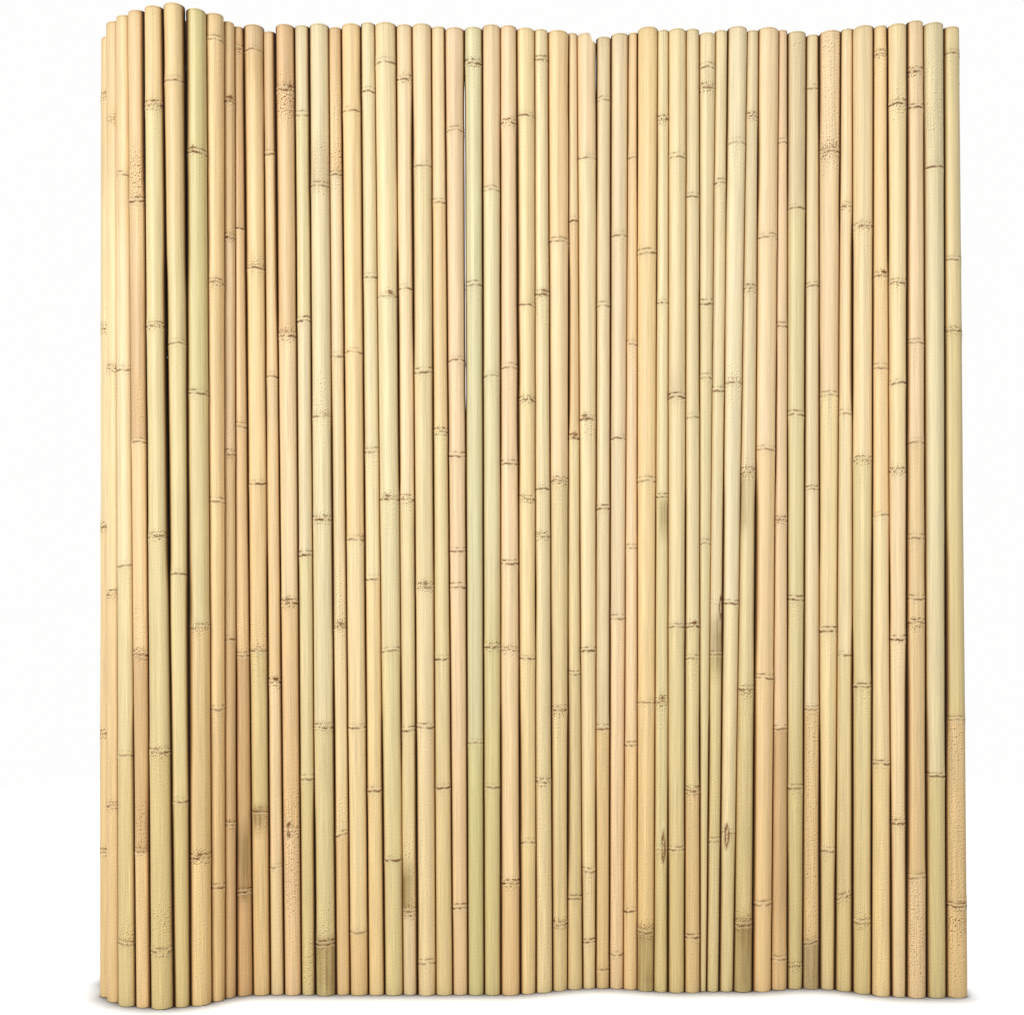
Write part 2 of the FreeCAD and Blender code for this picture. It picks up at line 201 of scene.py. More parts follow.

# How wide the painted shade in the cleft to the next cane on the right is, from the foot up, where it differs from
# plain. The numbers are times the plain width.
WIDTHS = {"shut": 0.2, "tight": 0.4, "thin": 0.7, "plain": 1.0, "open": 1.4, "wide": 1.9, "deep": 2.8, "gaping": 4.2}
CLEFTS = {
    3: [(0, "open"), (350, "tight")],
    4: [(0, "wide"), (250, "plain"), (1000, "deep")],
    5: [(0, "wide"), (250, "open"), (530, "deep"), (900, "wide")],
    6: [(0, "wide"), (300, "gaping"), (520, "wide"), (900, "deep"), (1100, "gaping")],
    7: [(0, "tight"), (500, "shut")],
    8: [(0, "tight"), (650, "shut")],
    9: [(0, "wide"), (240, "open"), (420, "thin"), (750, "tight")],
    10: [(0, "plain"), (550, "open"), (800, "wide")],
    11: [(0, "open"), (540, "thin"), (700, "plain"), (1100, "tight")],
    12: [(0, "open"), (450, "plain"), (850, "deep"), (950, "gaping")],
    14: [(0, "wide"), (240, "thin"), (700, "plain"), (1000, "wide")],
    15: [(0, "open"), (380, "thin"), (460, "open"), (720, "thin")],
    18: [(0, "open"), (340, "tight")],
    19: [(0, "thin"), (160, "shut"), (280, "plain"), (420, "tight"), (630, "open"), (930, "tight"), (1020, "plain")],
    20: [(0, "wide"), (340, "plain"), (630, "thin"), (820, "wide"), (1100, "thin")],
    21: [(0, "thin"), (540, "plain"), (820, "thin")],
    25: [(0, "open"), (350, "tight"), (640, "plain"), (1100, "tight")],
    26: [(0, "wide"), (350, "plain"), (640, "wide"), (1100, "plain")],
    27: [(0, "plain"), (160, "thin"), (250, "shut"), (450, "plain"), (540, "tight")],
    28: [(0, "plain"), (450, "thin")],
    29: [(0, "thin"), (160, "wide"), (340, "plain"), (450, "tight"), (720, "wide"), (920, "tight")],
    30: [(0, "plain"), (160, "tight")],
    31: [(0, "plain"), (260, "tight"), (540, "thin"), (900, "tight"), (1000, "plain")],
    33: [(0, "tight"), (720, "shut"), (920, "thin")],
    34: [(0, "tight"), (1000, "plain")],
    35: [(0, "thin"), (640, "shut"), (830, "thin"), (1100, "shut")],
    36: [(0, "wide"), (170, "plain"), (270, "tight"), (540, "shut")],
    37: [(0, "plain"), (640, "tight")],
    38: [(0, "plain"), (350, "thin")],
    39: [(0, "open"), (340, "tight"), (440, "shut")],
    40: [(0, "wide"), (160, "plain"), (440, "open"), (620, "thin"), (820, "shut"), (1000, "plain")],
    41: [(0, "plain"), (160, "thin"), (260, "shut")],
    42: [(0, "wide"), (340, "open"), (440, "deep"), (630, "thin"), (1000, "open"), (1100, "thin")],
    43: [(0, "thin"), (350, "tight"), (640, "plain"), (820, "tight")],
    44: [(0, "open"), (160, "thin"), (440, "plain"), (730, "tight"), (1000, "plain")],
    46: [(0, "wide"), (250, "plain"), (340, "shut"), (530, "plain"), (820, "thin"), (1100, "wide")],
    47: [(0, "wide"), (160, "plain"), (280, "tight"), (960, "plain")],
    48: [(0, "wide"), (440, "tight"), (740, "wide"), (960, "tight")],
    50: [(0, "wide"), (160, "open"), (260, "thin"), (460, "plain"), (550, "shut"), (900, "plain")],
    51: [(0, "wide"), (160, "gaping"), (400, "wide"), (1100, "open")],
    52: [(0, "wide"), (350, "plain"), (1100, "thin")],
    53: [(0, "open"), (330, "deep"), (560, "open")],
}

# A splinter has come off the right side of one cane's top.
BROKEN_CANE = "cane_31"
BREAK_DEPTH = 10.0
BREAK_START = 3.5       # from the cane's axis to where the break begins
BREAK_SLOPE = 20.0

# How the rings of a node look: two thin dark lines with a pale band between, one dark arc over a pale lip, or a ring
# broken up into pits. The dark lines are partly the scars' own colour and partly painted shade. The pale bands and lips
# are partly painted highlight.
DOUBLE, ARC, PITTED = range(3)
RINGS = {
    1: PITTED, 2: PITTED, 5: PITTED, 6: ARC, 8: DOUBLE, 11: ARC, 13: PITTED, 14: DOUBLE, 17: ARC, 37: DOUBLE,
    40: DOUBLE, 42: PITTED, 43: DOUBLE, 47: DOUBLE,
}

# Nodes that slant: their height, and how far they rise from the left to the right.
SLANTS = {16: (205, 4.0), 46: (70, 7.0), 48: (125, 9.0)}


def linear(colour):
    """A colour written in 0 to 255 screen values, as linear light."""
    value = np.array(colour) / 255.0
    return np.where(value <= 0.04045, value / 12.92, ((value + 0.055) / 1.055) ** 2.4)


def corners(node):
    """A solid's corners in millimetres, each once, and its triangles."""
    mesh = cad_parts[node].data
    points = np.empty(len(mesh.vertices) * 3)
    mesh.vertices.foreach_get("co", points)
    mesh.calc_loop_triangles()
    triangles = np.empty(len(mesh.loop_triangles) * 3, dtype=np.int64)
    mesh.loop_triangles.foreach_get("vertices", triangles)
    grid = np.round(points.reshape(-1, 3) / MM, 3)
    points, place = np.unique(grid, axis=0, return_inverse=True)
    return points, place.ravel()[triangles].reshape(-1, 3)


def apart(node):
    """The corners of each separate solid in a node: labels run down the triangles until nothing changes."""
    points, triangles = corners(node)
    label = np.arange(len(points))
    while True:
        lowest = label[triangles].min(axis=1)
        spread = label.copy()
        for side in range(3):
            np.minimum.at(spread, triangles[:, side], lowest)
        spread = spread[spread]
        if (spread == label).all():
            break
        label = spread
    return [points[label == root] for root in np.unique(label)]


def culm_facts(points):
    """Foot, head, end radii and node heights of a cane, read from its solid's corners. Rings of corners are circles,
    whose centres give the axis. Corners that stand out of the straight taper are the crests of nodes."""
    foot = points[points[:, 2] < points[:, 2].min() + 0.4].mean(axis=0)
    head = points[points[:, 2] > points[:, 2].max() - 0.4].mean(axis=0)
    axis = (head - foot) / np.linalg.norm(head - foot)
    points = points[np.argsort((points - foot) @ axis)]
    along = (points - foot) @ axis
    middles = []
    start = np.searchsorted(along, 1.0)
    while start < np.searchsorted(along, along[-1] - 12.0):
        end = np.searchsorted(along, along[start] + 0.12)
        if end - start < 18:
            start += 1
            continue
        ring = points[start:end]
        flat = ring[:, :2] - ring[:, :2].mean(axis=0)
        system = np.column_stack([2 * flat, np.ones(len(flat))])
        fit, error, _, _ = np.linalg.lstsq(system, (flat**2).sum(axis=1), rcond=None)
        if len(error) and error[0] / len(flat) < 0.05:
            middles.append([*(fit[:2] + ring[:, :2].mean(axis=0)), ring[:, 2].mean()])
        start = end
    middles = np.array(middles)
    line = np.polyfit(middles[:, 2], middles[:, :2], 1)
    near = np.linalg.norm(middles[:, :2] - middles[:, 2:] * line[0] - line[1], axis=1) < 0.15
    line = np.polyfit(middles[near, 2], middles[near, :2], 1)
    low, high = points[0, 2], points[-1, 2]
    foot, head = (np.append(line[0] * z + line[1], z) for z in (low, high))
    out = np.linalg.norm(points[:, :2] - points[:, 2:] * line[0] - line[1], axis=1)
    radii = []
    for z in (low, high):
        rim = out[abs(points[:, 2] - z) < 0.5]
        radii.append(rim[rim > rim.max() - 0.4].mean())
    plain = radii[0] + (radii[1] - radii[0]) * (points[:, 2] - low) / (high - low)
    crests = np.sort(points[out - plain > 0.22, 2] - low)
    groups = np.split(crests, np.nonzero(np.diff(crests) > 4.0)[0] + 1)
    return foot, head, radii, np.array([group.mean() for group in groups])


def bell(distance, width):
    """A smooth bump that is 1 in the middle."""
    return np.exp(-((distance / width) ** 2))


def window(t, low, high, soft):
    """1 between two heights, falling off over a soft distance outside them."""
    return 0.25 * (1 + np.tanh((t - low) / soft)) * (1 - np.tanh((t - high) / soft))


def clefts(points, out, own, lines, seed):
    """How deep each point lies in the cleft between its culm and the neighbours, which is how much painted shade it
    gets there. From the gap g to a neighbour's skin it takes exp(-(g / CREVICE)^2), and 0.6 exp(-(g / SHELTER)^2) of it
    on the side that faces the neighbour."""
    open_sky = np.ones(points.shape[:-1])
    for index, (foot, head, (low, high), _) in enumerate(lines):
        if index == own:
            continue
        near = min(np.linalg.norm(foot[:2] - lines[own][0][:2]), np.linalg.norm(head[:2] - lines[own][1][:2]))
        if near > 50.0:
            continue
        part = ((points[..., 2] - foot[2]) / (head[2] - foot[2])).clip(0, 1)
        away = points[..., :2] - foot[:2] - part[..., None] * (head - foot)[:2]
        far = np.linalg.norm(away, axis=-1)
        gap = (far - low - (high - low) * part - FULL).clip(0)
        facing = -(away * out[..., :2]).sum(axis=-1) / far
        times = 1.0
        if abs(index + 1 - seed) == 1:
            steps = CLEFTS.get(min(index + 1, seed), [])
            times = WIDTHS[steps[0][1]] if steps else 1.0
            for (start, name), (_, before) in zip(steps[1:], steps):
                rise = 0.5 + 0.5 * np.tanh((points[..., 2] - start) / 30)
                times = times + (WIDTHS[name] - WIDTHS[before]) * rise
        reach = CREVICE * np.maximum(times, 0.6)
        open_sky *= 1 - np.minimum(0.25 + 0.75 * times, 1) * bell(gap, reach) * facing.clip(0) ** 0.5
        open_sky *= 1 - 0.36 * facing.clip(0) * bell(gap, SHELTER)
    return 1 - open_sky


def drop(name, offset, length):
    """How far the broken top of one cane lies below the rest: a splinter is off its right third."""
    if name != BROKEN_CANE + "_culm":
        return 0 * offset
    return ((offset - BREAK_START) / math.tan(math.radians(BREAK_SLOPE))).clip(0, BREAK_DEPTH)


def culm_mesh(name, own, lines, columns, seam, tints, seed):
    """A cane's closed skin on a grid: columns round the culm, rows along a profile that goes from the partition
    inside the foot out over the sawn end, up the side and down into the head. The side's radius is the taper, plus
    a swelling and a ring or two at each node, less a shallow channel above it."""
    foot, head, (foot_radius, head_radius), nodes = lines[own]
    chance = np.random.default_rng(seed)
    length = np.linalg.norm(head - foot)
    rows = [np.arange(ROW_STEP, length - ROW_STEP / 2, ROW_STEP)]
    rows = [rows[0][[min(abs(nodes - t)) > 17 for t in rows[0]]]]
    rows += [node + RING_ROWS for node in nodes]
    side = np.concatenate(rows)
    ends = [0.2, 0.8, 2.0, 3.2, length - 3.2, length - 2.0, length - BLUNT, length - 0.2 * BLUNT]
    side = np.unique(np.round(np.concatenate([side[(side > 4.5) & (side < length - 4.5)], ends]), 2))
    angle = seam + np.arange(columns) * 2 * math.pi / columns
    t, phi = np.meshgrid(side, angle, indexing="ij")

    full = np.full_like(t, FULL + (0.3 if seed in (10, 11) else 0.0))
    for low, high, facing in DAYLIGHT.get(seed, []):
        full -= 1.2 * FULL * window(t, low, high, 14) * np.cos(phi - math.radians(facing)).clip(0)
    plain = full + foot_radius + (head_radius - foot_radius) * t / length
    radius = plain * (1 + OVAL * np.cos(2 * (phi - chance.uniform(0, math.pi))))
    line = np.zeros_like(t)
    light = np.zeros_like(t)
    low_down = 0.5 - 0.5 * np.tanh((t - 330) / 170)
    rough = chance.uniform(0.0, 0.12) + chance.uniform(0.12, 0.3) * low_down
    stain = np.zeros_like(t)
    facet_shade_and_tone = np.zeros_like(t)
    lifted = t.copy()
    turned = chance.uniform(0, 2 * math.pi, 6)
    for index, node in enumerate(nodes):
        slant = chance.normal(0, 0.4)
        turned = turned + chance.uniform(0.6, 2.4, 6)
        arch = chance.normal(0.7, 0.5)
        slope = 0.0
        if seed in SLANTS and abs(SLANTS[seed][0] - node) < 20:
            slope = SLANTS[seed][1] / 2
        wave = slant * np.cos(phi - turned[0]) + arch * np.cos(phi) + slope * np.sin(phi) + 0.3 * np.cos(2 * phi + turned[1])
        wave = wave + 0.4 * np.cos(3 * phi - turned[2]) + 0.4 * np.cos(7 * phi + turned[3])
        d = t - node + 4.0
        lifted = lifted + wave * bell(d, 14)
        kind = RINGS.get(seed, chance.choice([DOUBLE, DOUBLE, ARC, PITTED]))
        torn_off = any(what == "scar" and low < node < high for what, low, high, _ in PLACES.get(seed, []))
        gap = chance.uniform(4.2, 5.8)
        force = chance.uniform(0.55, 1.05) * (0.2 if torn_off else 1.0)
        lip = bell(d, 1.1)
        ridge = bell(d - gap, 1.3)
        radius = radius + SWELL * bell(d - 2, 13) + 0.45 * force * lip + 0.3 * force * ridge * (kind != ARC)
        radius = radius - 0.25 * bell(d - 1.6, 0.7) - 0.15 * bell(d - gap - 1.8, 0.8) * (kind != ARC)
        torn = 0.5 * np.cos(2 * phi + turned[4]) + 0.5 * np.cos(5 * phi + turned[5]) + 0.4 * np.cos(9 * phi + turned[2])
        first = (0.7 + 0.6 * torn).clip(0.1, 1)
        second = (0.5 - 0.7 * torn).clip(0, 1)
        if kind == PITTED:
            first, second = (0.35 + torn).clip(0, 1), (0.2 - torn).clip(0, 1)
            rough = rough + (0.6 + 0.4 * force) * bell(d - 3, 7)
        # Dark ring lines: partly the scar's own colour, partly painted shade beside the lip and ridge. The pale lip and
        # ridge are partly painted highlight.
        line = line + force * first * bell(d - 1.7, 1.3)
        line = line + force * second * bell(d - gap - 1.9, 1.1) * (0.25 if kind == ARC else 0.9)
        light = light + (0.5 + 0.5 * force) * lip + (0.2 if kind == ARC else 0.8) * ridge
        rough = rough + force * 0.45 * bell(d - 3, 7)
        reach = nodes[index + 1] if index + 1 < len(nodes) else length + 20
        rough = rough + chance.uniform(0, 0.3) * window(t, reach - 45, reach, 9)
        between = window(t, node, reach, 1.5)
        # Light and dark bands round the culm are painted shade and highlight of its facets, and the dip round each node
        # is a faint painted shadow; each internode also has its own random tone.
        flat = 0.04 * np.cos(4 * phi + turned[0]) + 0.03 * np.cos(7 * phi + turned[1])
        flat = flat + 0.035 * np.cos(10 * phi + turned[2])
        facet_shade_and_tone = facet_shade_and_tone + between * (flat + chance.normal(0, 0.02)) - 0.05 * bell(d - 4, 9)
        if chance.uniform() < 0.6:
            facing = chance.normal(0, 0.5) + chance.choice([0, math.pi])
            hollow = np.cos(phi - facing).clip(0) ** 4
            radius = radius - 0.05 * plain * hollow * window(t, node + 9, node + (reach - node) * 0.6, 12)
    dust = np.zeros_like(t)
    for what, low, high, facing in PLACES.get(seed, []):
        patch = window(t, low, high, 3.0 + 0.06 * (high - low))
        turn = 0 if facing is None else phi - math.radians(facing)
        if what == "rough":
            rough = rough + 0.42 * patch * (1 if facing is None else np.cos(turn / 1.4).clip(0))
        elif what == "stain":
            stain = stain + patch * (0.9 if facing is None else np.cos(turn).clip(0))
        elif what == "dust":
            dust = dust + patch * (0.8 if facing is None else np.cos(turn).clip(0))
        elif what == "scar":
            turn = (turn + math.pi) % (2 * math.pi) - math.pi
            rim = np.hypot(turn * plain / 2.2, (2 * t - low - high) / (high - low))
            line = line + 0.9 * bell(rim - 1, 0.3)
            light = light + 0.5 * bell(rim - 1.7, 0.4)
            rough = rough + 0.7 * bell(turn * plain, 5) * patch
            radius = radius - 0.5 * bell(rim, 0.9)
        else:
            turn = (turn + math.pi) % (2 * math.pi) - math.pi
            eye = bell(turn * plain, 2.2) * bell(t - nodes[np.argmin(abs(nodes - low))] - 2.6, 2.6)
            line = line + 0.8 * eye
            rough = rough + 1.0 * bell(turn * plain, 6.5) * bell(t - nodes[np.argmin(abs(nodes - low))] - 2.6, 7)
            radius = radius + 0.8 * eye
    radius = radius + 0.1 * np.sin(t / 37 + seed) * np.cos(phi * 2 + t / 90)
    radius = radius - 0.35 * BLUNT * bell(length - t, 0.6 * BLUNT) - 0.1 * bell(t, 0.4)
    line = line + 0.3 * bell(length - t - 2.0, 0.9)
    lifted = np.minimum(lifted, length - 0.2 * BLUNT)

    shift = np.zeros((len(side), 2))
    for k in (2, 3, 5):
        shift += np.sin(side * k * math.pi / length)[:, None] * chance.normal(0, CROOK / k, 2)

    axis = (head - foot) / length
    across = np.array([1.0, 0, 0]) - axis * axis[0]
    across /= np.linalg.norm(across)
    away = np.cross(axis, across)
    out = np.sin(angle)[:, None] * across - np.cos(angle)[:, None] * away

    def ring(r, height, drift):
        """Points round the axis: the angle is 0 towards the viewer and grows to the right."""
        r, height = np.broadcast_arrays(r, height)
        height = np.minimum(height, length - drop(name, r * np.sin(angle), length))
        points = foot + height[..., None] * axis + r[..., None] * out
        points[..., :2] += drift
        return points

    bores = []
    for end_radius, depth in ((foot_radius, nodes[0]), (head_radius, length - nodes[-1])):
        bores.append((end_radius - WALL, depth - DIAPHRAGM) if end_radius - WALL > 1.5 else None)
    around = np.ones(columns)
    start, finish = [], []
    if bores[0]:
        bore, depth = bores[0]
        start = [(bore * 0.5, depth), (bore, depth - 0.4), (bore, depth / 2), (bore, 0.5), (bore + 0.3, 0.0)]
    start.append((foot_radius - 0.1, 0.0))
    finish.append((head_radius - BLUNT, length))
    if bores[1]:
        bore, depth = bores[1]
        finish += [(bore + 0.3, length), (bore, length - 0.5), (bore, length - depth / 2),
                   (bore, length - depth + 0.4), (bore * 0.5, length - depth)]
    before = np.stack([ring(r * around, h * around, 0) for r, h in start])
    after = np.stack([ring(r * around, h * around, 0) for r, h in finish])
    skin = np.stack([ring(radius[k], lifted[k], shift[k]) for k in range(len(side))])
    bottom = foot + axis * (bores[0][1] if bores[0] else 0)
    top = foot + axis * (length - (bores[1][1] if bores[1] else 0))
    grid = np.concatenate([before, skin, after])
    count = len(grid)
    points = np.concatenate([grid.reshape(-1, 3), [bottom, top]])

    row, column = np.meshgrid(np.arange(count - 1), np.arange(columns), indexing="ij")
    right = (column + 1) % columns
    quads = np.stack([row * columns + column, row * columns + right, (row + 1) * columns + right,
                      (row + 1) * columns + column], axis=-1).reshape(-1, 4)
    ends = np.arange(columns)
    turn = (ends + 1) % columns
    first = np.stack([np.full(columns, count * columns), turn, ends], axis=-1)
    base = (count - 1) * columns
    final = np.stack([np.full(columns, count * columns + 1), base + ends, base + turn], axis=-1)

    mesh = bpy.data.meshes.new(name)
    mesh.from_pydata((points * MM).tolist(), [], quads.tolist() + first.tolist() + final.tolist())

    sawn = np.ones((count, columns))
    sawn[len(before):len(before) + len(side)] = 0
    inside = np.zeros((count, columns))
    for rows_in, profile in ((0, start), (len(before) + len(side), finish)):
        for k, (r, h) in enumerate(profile):
            inside[rows_in + k] = 0 < h < length and r < min(foot_radius, head_radius)

    def spread(field, fill=0.0):
        """A field on the side, carried over the ends."""
        whole = np.full((count, columns), fill)
        whole[len(before):len(before) + len(side)] = field
        return np.append(whole.ravel(), [fill, fill])

    shades = np.array([linear(TINTS[tint]) for _, tint in tints])
    shades = shades + (shades.mean(axis=0) - shades) * BLEND
    colour = np.tile(shades[0], (count * columns + 2, 1))
    height = np.append(np.concatenate([np.full(len(before), 0.0), side, np.full(len(after), length)]).repeat(columns),
                       [0.0, length])
    for (start_height, _), shade in zip(tints[1:], shades[1:]):
        nearest = min(nodes, key=lambda node: abs(node - start_height))
        edge = nearest if abs(nearest - start_height) < 20 else start_height
        soft = 1.2 if edge == nearest else 30.0
        mix = 0.5 + 0.5 * np.tanh((height - edge) / soft)
        colour += (shade - colour) * mix[:, None]
    colour *= 1 + chance.normal(0, 0.008, 3)
    # Painted facet shading and node shadow, with each internode's own tone.
    colour *= 1 + spread(facet_shade_and_tone)[:, None]
    # Darker and browner towards the foot: painted shade of the light falling off near the floor.
    colour *= 1 - np.array([0.08, 0.12, 0.21]) * (0.5 - 0.5 * np.tanh((height - 330) / 170))[:, None]
    colour += (linear((214, 190, 150)) - colour) * 0.6 * spread(dust.clip(0, 1))[:, None]

    paint = np.ones((len(points), 4), dtype=np.float32)
    paint[:, :3] = colour
    mesh.color_attributes.new("tint", "FLOAT_COLOR", "POINT").data.foreach_set("color", paint.ravel())
    paint = np.stack([spread(line.clip(0, 1)), spread(light.clip(0, 1)), spread(rough.clip(0, 1)),
                      spread(stain.clip(0, 1))], axis=-1).astype(np.float32)
    mesh.color_attributes.new("marks", "FLOAT_COLOR", "POINT").data.foreach_set("color", paint.ravel())
    paint = np.zeros((len(points), 4), dtype=np.float32)
    paint[:, 0] = np.append(sawn.ravel(), [1, 1])
    paint[:, 1] = np.append(inside.ravel(), [1, 1])
    # The third channel is the painted shade in the clefts between culms.
    paint[:, 2] = spread(clefts(skin, out, own, lines, seed))
    mesh.color_attributes.new("sawn", "FLOAT_COLOR", "POINT").data.foreach_set("color", paint.ravel())

    corner = np.empty(len(mesh.loops), dtype=np.int64)
    mesh.loops.foreach_get("vertex_index", corner)
    step = 2 * math.pi * (foot_radius + head_radius) / 2 / columns
    around_mm = np.append(np.tile(np.arange(columns) * step, count), [0, 0])[corner]
    quad_loops = len(quads) * 4
    wrap = np.zeros(len(corner), dtype=bool)
    wrap[:quad_loops] = np.stack([np.zeros(len(quads)), quads[:, 1] % columns == 0, quads[:, 2] % columns == 0,
                                  np.zeros(len(quads))], axis=-1).ravel() > 0
    around_mm = np.where(wrap, columns * step, around_mm)
    layout = np.stack([around_mm + seed * 7.3 % 500, height[corner] + seed * 131.7 % 900], axis=-1) * MM
    mesh.uv_layers.new(name="culm").data.foreach_set("uv", layout.ravel().astype(np.float32))
    mesh.polygons.foreach_set("use_smooth", np.ones(len(mesh.polygons), dtype=bool))
    mesh.update()
    return mesh


class Signal:
    """A node's output in a material. Arithmetic on signals adds the Math nodes."""

    def __init__(self, tree, socket=None):
        self.tree = tree
        self.socket = socket

    def node(self, kind, settings, sockets, output=0):
        """Adds a node: its settings are set first, then each socket gets its value or its link."""
        made = self.tree.nodes.new(kind)
        for setting, value in settings.items():
            setattr(made, setting, value)
        for name, value in sockets.items():
            if isinstance(value, Signal):
                self.tree.links.new(value.socket, made.inputs[name])
            else:
                made.inputs[name].default_value = value
        return Signal(self.tree, made.outputs[output])

    def math(self, operation, first, second=0.0):
        return self.node("ShaderNodeMath", {"operation": operation}, {0: first, 1: second})

    def __add__(self, other):
        return self.math("ADD", self, other)

    def __sub__(self, other):
        return self.math("SUBTRACT", self, other)

    def __rsub__(self, other):
        return self.math("SUBTRACT", other, self)

    def __mul__(self, other):
        return self.math("MULTIPLY", self, other)

    __radd__ = __add__
    __rmul__ = __mul__

    def above(self, low, high):
        """0 below one value, 1 over another, and smooth between them."""
        return self.node("ShaderNodeMapRange", {"interpolation_type": "SMOOTHSTEP"},
                         {"Value": self, "From Min": low, "From Max": high})

    def noise(self, place, scale, detail=2.0):
        return self.node("ShaderNodeTexNoise", {}, {"Vector": place, "Scale": scale, "Detail": detail})

    def stretch(self, place, factors):
        return self.node("ShaderNodeVectorMath", {"operation": "MULTIPLY"}, {0: place, 1: factors})

    def mixed(self, first, second, factor, blend="MIX"):
        """One colour over another."""
        made = self.node("ShaderNodeMix", {"data_type": "RGBA", "blend_type": blend, "clamp_factor": True},
                         {"Factor": factor}, 2)
        mix = made.socket.node
        for socket, value in ((mix.inputs[6], first), (mix.inputs[7], second)):
            if isinstance(value, Signal):
                self.tree.links.new(value.socket, socket)
            else:
                socket.default_value = value
        return made


def opened(name):
    """A new material, as a signal with no socket, and its surface node."""
    material = bpy.data.materials.new(name)
    material.use_nodes = True
    return material, Signal(material.node_tree), material.node_tree.nodes["Principled BSDF"]


def shade(colour):
    return tuple(linear(colour)) + (1.0,)


def bamboo_skin():
    """Waxy bamboo skin: the culm's own tint, streaked along the fibres and clouded, with dark flecks and pits where it
    is rough and painted highlight and shade beside the flecks, dark and pale lines at the rings that are partly painted
    shade and highlight, grey-green stains, painted shade in the clefts between culms, and fibrous ends where it is
    sawn."""
    material, m, surface = opened("bamboo")
    culm = m.node("ShaderNodeUVMap", {"uv_map": "culm"}, {})
    body = m.node("ShaderNodeTexCoord", {}, {}, "Object")
    tint = m.node("ShaderNodeAttribute", {"attribute_name": "tint"}, {}, "Color")
    marks = m.node("ShaderNodeAttribute", {"attribute_name": "marks"}, {}, "Color")
    stain = Signal(m.tree, marks.socket.node.outputs["Alpha"])
    split = m.node("ShaderNodeSeparateColor", {}, {0: marks})
    line, light, rough = (Signal(m.tree, split.socket.node.outputs[k]) for k in range(3))
    # The third channel of sawn is the painted shade in the clefts between culms.
    ends = m.node("ShaderNodeSeparateColor", {}, {0: m.node("ShaderNodeAttribute", {"attribute_name": "sawn"}, {},
                                                            "Color")})
    sawn, inside, cleft = (Signal(m.tree, ends.socket.node.outputs[k]) for k in range(3))

    fibre = m.noise(m.stretch(culm, (900, 14, 1)), 1.0, 3.0)
    streak = m.noise(m.stretch(culm, (330, 4, 1)), 1.0, 2.0)
    cloud = m.noise(m.stretch(culm, (60, 9, 1)), 1.0, 2.0)
    spots = m.stretch(culm, (560, 420, 1))
    fleck = m.noise(spots, 1.0, 3.0)
    # A shifted copy of the flecks minus the flecks: painted highlight on one side of each fleck and painted shade on
    # the other.
    beside = m.node("ShaderNodeVectorMath", {"operation": "ADD"}, {0: spots, 1: (0.25, -0.35, 0.0)})
    painted_emboss = m.noise(beside, 1.0, 3.0) - fleck
    grain = m.noise(m.stretch(culm, (800, 620, 1)), 1.0, 2.0)

    value = 0.59 + 0.48 * fibre + 0.28 * streak + 0.08 * cloud
    value = value + (painted_emboss * (0.06 + 1.6 * rough)) + (fibre - 0.5) * (0.7 * rough)
    base = m.node("ShaderNodeVectorMath", {"operation": "SCALE"}, {0: tint, "Scale": value})
    base = m.mixed(base, shade((206, 190, 124)), (cloud.above(0.55, 0.8)) * 0.2)
    mottled = 0.25 + 0.5 * streak.above(0.35, 0.65) + 0.3 * cloud.above(0.4, 0.6)
    base = m.mixed(base, shade((140, 114, 60)), stain * mottled)
    edge = 0.76 - 0.22 * rough
    dark = (fleck - edge).above(0.0, 0.05) * rough.above(0.0, 0.4)
    base = m.mixed(base, shade((132, 84, 36)), dark * 0.9)
    pit = (grain - (0.78 - 0.16 * rough)).above(0.0, 0.05) * (0.5 + 0.5 * rough)
    base = m.mixed(base, shade((112, 68, 26)), pit * 0.85)
    # Painted highlight on the pale lips and ridges, then the dark ring lines, which are partly painted shade.
    base = m.mixed(base, shade((250, 232, 184)), light * (0.1 + 0.7 * fleck))
    base = m.mixed(base, shade((116, 68, 20)), line * (0.6 + 1.2 * grain))
    wood = m.mixed(shade((222, 196, 146)), shade((176, 138, 90)), m.noise(body, 900.0, 2.0).above(0.4, 0.7))
    base = m.mixed(base, wood, sawn)
    base = m.mixed(base, shade((150, 112, 70)), inside * 0.8)
    # Painted shade in the clefts: a brown multiply over a wide band, then near black deep in.
    base = m.mixed(base, m.mixed(base, shade((184, 146, 88)), 1.0, "MULTIPLY"), cleft.above(0.0, 0.6))
    base = m.mixed(base, shade((28, 18, 8)), cleft.above(0.35, 0.85) * 0.96)
    m.tree.links.new(base.socket, surface.inputs["Base Color"])

    height = 0.25 * fibre + 0.5 * fleck * rough - 0.8 * dark - 0.7 * pit + 0.2 * streak + 0.8 * light - 1.2 * line
    bump = m.node("ShaderNodeBump", {}, {"Strength": 0.4, "Distance": 0.0005, "Height": height})
    m.tree.links.new(bump.socket, surface.inputs["Normal"])
    gloss = 0.36 + 0.2 * fibre + 0.3 * rough + 0.3 * sawn + 0.3 * cleft
    m.tree.links.new(gloss.socket, surface.inputs["Roughness"])
    surface.inputs["Specular IOR Level"].default_value = 0.5
    return material


bamboo = bamboo_skin()


def stand_cane(name, meshes):
    """One piece for a node: its culm, or all the culms of a group joined."""
    things = []
    for mesh in meshes:
        thing = bpy.data.objects.new(name, mesh)
        bpy.context.scene.collection.objects.link(thing)
        things.append(thing)
    if len(things) > 1:
        with bpy.context.temp_override(active_object=things[0], selected_editable_objects=things):
            bpy.ops.object.join()
    things[0].data.materials.clear()
    things[0].data.materials.append(bamboo)
    return things[0]


